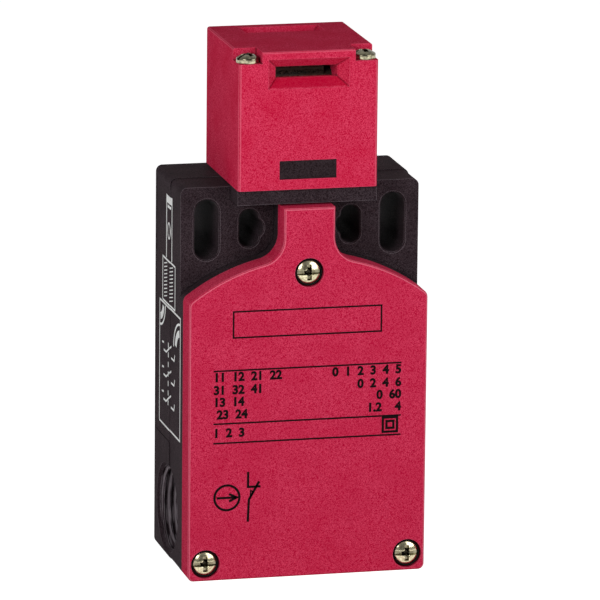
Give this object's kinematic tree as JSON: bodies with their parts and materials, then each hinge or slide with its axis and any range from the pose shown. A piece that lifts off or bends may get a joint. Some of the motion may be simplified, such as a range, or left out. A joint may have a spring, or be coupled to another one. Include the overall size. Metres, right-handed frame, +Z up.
{
  "type": "tongue interlock switch",
  "caption": "Guard safety switch with a black housing, a red cover and a red head, whose cam wheel a flat tongue key turns to work the contacts.",
  "frame": {"origin": "on the housing's lowest face, in the middle of the overall width and depth", "axes": "+X to the right seen from the front, +Y to the rear mounting face, +Z up towards the head"},
  "size_m": [0.052, 0.033, 0.113],
  "materials": {
    "black_plastic": "moulded, fine matt grain",
    "red_plastic": "moulded, fine speckled grain",
    "black_insert": "moulded",
    "cam_plastic": "moulded",
    "block_plastic": "moulded",
    "carrier_plastic": "moulded",
    "base_plate_plastic": "moulded",
    "plunger_plastic": "turned",
    "rubber_seal": "moulded",
    "plated_steel": "yellowish zinc plating",
    "steel_pin": "ground",
    "spring_steel": "drawn wire",
    "contact_brass": "stamped"
  },
  "bodies": {
    "switch_body": {"housing": "black_plastic", "housing_ears": "black_plastic", "cover": "red_plastic", "cover_gasket": "rubber_seal", "cover_screws": "plated_steel", "cover_screw_retainers": "rubber_seal", "head_housing": "red_plastic", "slot_plug": "black_insert", "head_screws": "plated_steel", "head_base_plate": "base_plate_plastic", "head_gasket": "rubber_seal", "cam_axle": "steel_pin", "plunger_seal": "rubber_seal", "contact_block_base": "block_plastic", "terminal_clamps": "plated_steel", "terminal_screws": "plated_steel", "block_screws": "plated_steel", "return_spring": "spring_steel", "fixed_contact_left_lower": "contact_brass", "fixed_contact_left_middle": "contact_brass", "fixed_contact_left_upper": "contact_brass", "fixed_contact_right_lower": "contact_brass", "fixed_contact_right_middle": "contact_brass", "fixed_contact_right_upper": "contact_brass"},
    "cam": {"cam_wheel": "cam_plastic"},
    "plunger": {"plunger": "plunger_plastic"},
    "contact_slide": {"contact_carrier": "carrier_plastic", "contact_bridge_lower": "contact_brass", "contact_bridge_middle": "contact_brass", "contact_bridge_upper": "contact_brass", "bridge_spring_lower": "spring_steel", "bridge_spring_middle": "spring_steel", "bridge_spring_upper": "spring_steel"}
  },
  "joints": [
    {"name": "cam_turn", "type": "hinge", "parent": "switch_body", "child": "cam", "pos_m": [0, 0.00118, 0.09897], "axis": [-1, 0, 0], "range_deg": [0, 60]},
    {"name": "plunger_slide", "type": "slide", "parent": "switch_body", "child": "plunger", "axis": [0, 0, 1], "range_m": [0, 0.004]},
    {"name": "contact_slide", "type": "slide", "parent": "switch_body", "child": "contact_slide", "axis": [0, 0, 1], "range_m": [0, 0.004], "deforming": ["return_spring"]}
  ],
  "couplings": [
    {"joint": "plunger_slide", "follows": "cam_turn", "m_per_rad": 0.0038178},
    {"joint": "contact_slide", "follows": "cam_turn", "m_per_rad": 0.0038178}
  ]
}
